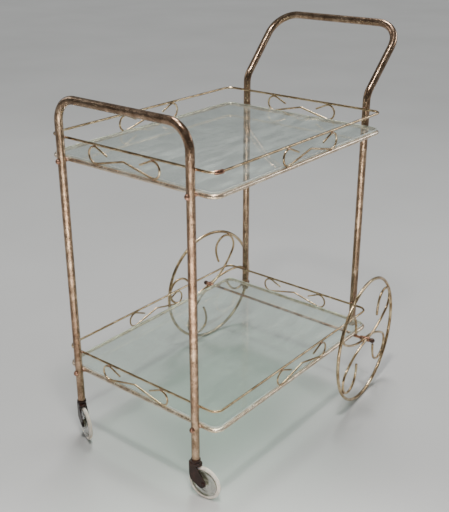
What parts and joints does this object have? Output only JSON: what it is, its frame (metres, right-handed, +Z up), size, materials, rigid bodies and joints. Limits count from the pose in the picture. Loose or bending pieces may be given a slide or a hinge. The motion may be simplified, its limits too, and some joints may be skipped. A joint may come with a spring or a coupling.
{
  "type": "serving trolley",
  "caption": "Two-tier serving trolley of bent tube with glass shelves, wire gallery rails, big scroll-spoked wheels at the handle end and swivel casters at the other.",
  "frame": {"origin": "on the floor, at the middle of the whole trolley's bounding box", "axes": "+X towards the handle end, +Y to the right of whoever pushes the trolley, +Z up"},
  "size_m": [0.7164, 0.4956, 0.8098],
  "materials": {
    "brass_tube": "aged copper-brown plated steel tube with dark speckled patina",
    "brass_rod": "aged brass-plated rod, satin",
    "brass_wire": "aged brass-plated wire, satin",
    "copper_fitting": "copper-plated, satin",
    "dark_metal": "dark brown lacquer, semi-gloss",
    "glass": "clear float glass with bevelled edges",
    "wheel_disc": "greyish translucent plastic",
    "cream_tyre": "cream rubber, matte"
  },
  "bodies": {
    "frame": {"caster_end_hoop": "brass_tube", "handle_end_hoop": "brass_tube", "handle_leg_plugs": "dark_metal", "lower_shelf_ring": "brass_rod", "lower_gallery_rail": "brass_wire", "upper_shelf_ring": "brass_rod", "upper_gallery_rail": "brass_wire", "upper_rail_ferrule": "copper_fitting", "lower_glass_shelf": "glass", "upper_glass_shelf": "glass", "lower_left_scroll": "brass_wire", "lower_handle_end_scroll": "brass_wire", "lower_right_scroll": "brass_wire", "lower_caster_end_scroll": "brass_wire", "upper_left_scroll": "brass_wire", "upper_handle_end_scroll": "brass_wire", "upper_right_scroll": "brass_wire", "upper_caster_end_scroll": "brass_wire", "shelf_studs": "copper_fitting", "acorn_nuts": "copper_fitting", "wheel_axle": "copper_fitting", "axle_stop_rings": "copper_fitting", "left_axle_cap": "dark_metal", "left_caster_socket": "dark_metal", "right_axle_cap": "dark_metal", "right_caster_socket": "dark_metal"},
    "left_wheel": {"left_wheel_rim": "brass_wire", "left_wheel_scroll_1": "brass_wire", "left_wheel_scroll_2": "brass_wire", "left_wheel_scroll_3": "brass_wire", "left_wheel_scroll_4": "brass_wire", "left_wheel_hub": "copper_fitting"},
    "left_caster": {"left_caster_fork": "dark_metal", "left_caster_stem": "dark_metal", "left_caster_rivet": "dark_metal"},
    "left_caster_wheel": {"left_caster_disc": "wheel_disc", "left_caster_tyre": "cream_tyre"},
    "right_wheel": {"right_wheel_rim": "brass_wire", "right_wheel_scroll_1": "brass_wire", "right_wheel_scroll_2": "brass_wire", "right_wheel_scroll_3": "brass_wire", "right_wheel_scroll_4": "brass_wire", "right_wheel_hub": "copper_fitting"},
    "right_caster": {"right_caster_fork": "dark_metal", "right_caster_stem": "dark_metal", "right_caster_rivet": "dark_metal"},
    "right_caster_wheel": {"right_caster_disc": "wheel_disc", "right_caster_tyre": "cream_tyre"}
  },
  "joints": [
    {"name": "left_wheel_spin", "type": "hinge", "parent": "frame", "child": "left_wheel", "pos_m": [0.16969, -0.2265, 0.1438], "axis": [0.1019, -0.9948, 0], "continuous": true},
    {"name": "right_wheel_spin", "type": "hinge", "parent": "frame", "child": "right_wheel", "pos_m": [0.16969, 0.2265, 0.1438], "axis": [0.1019, 0.9948, 0], "continuous": true},
    {"name": "left_caster_swivel", "type": "hinge", "parent": "frame", "child": "left_caster", "pos_m": [-0.33351, -0.1585, 0.0835], "axis": [0, 0, 1], "continuous": true},
    {"name": "left_caster_roll", "type": "hinge", "parent": "left_caster", "child": "left_caster_wheel", "pos_m": [-0.33107, -0.17835, 0.035], "axis": [0.9925, 0.1219, 0], "continuous": true},
    {"name": "right_caster_swivel", "type": "hinge", "parent": "frame", "child": "right_caster", "pos_m": [-0.33351, 0.1585, 0.0835], "axis": [0, 0, 1], "continuous": true},
    {"name": "right_caster_roll", "type": "hinge", "parent": "right_caster", "child": "right_caster_wheel", "pos_m": [-0.34165, 0.14023, 0.035], "axis": [0.9135, -0.4067, 0], "continuous": true}
  ]
}
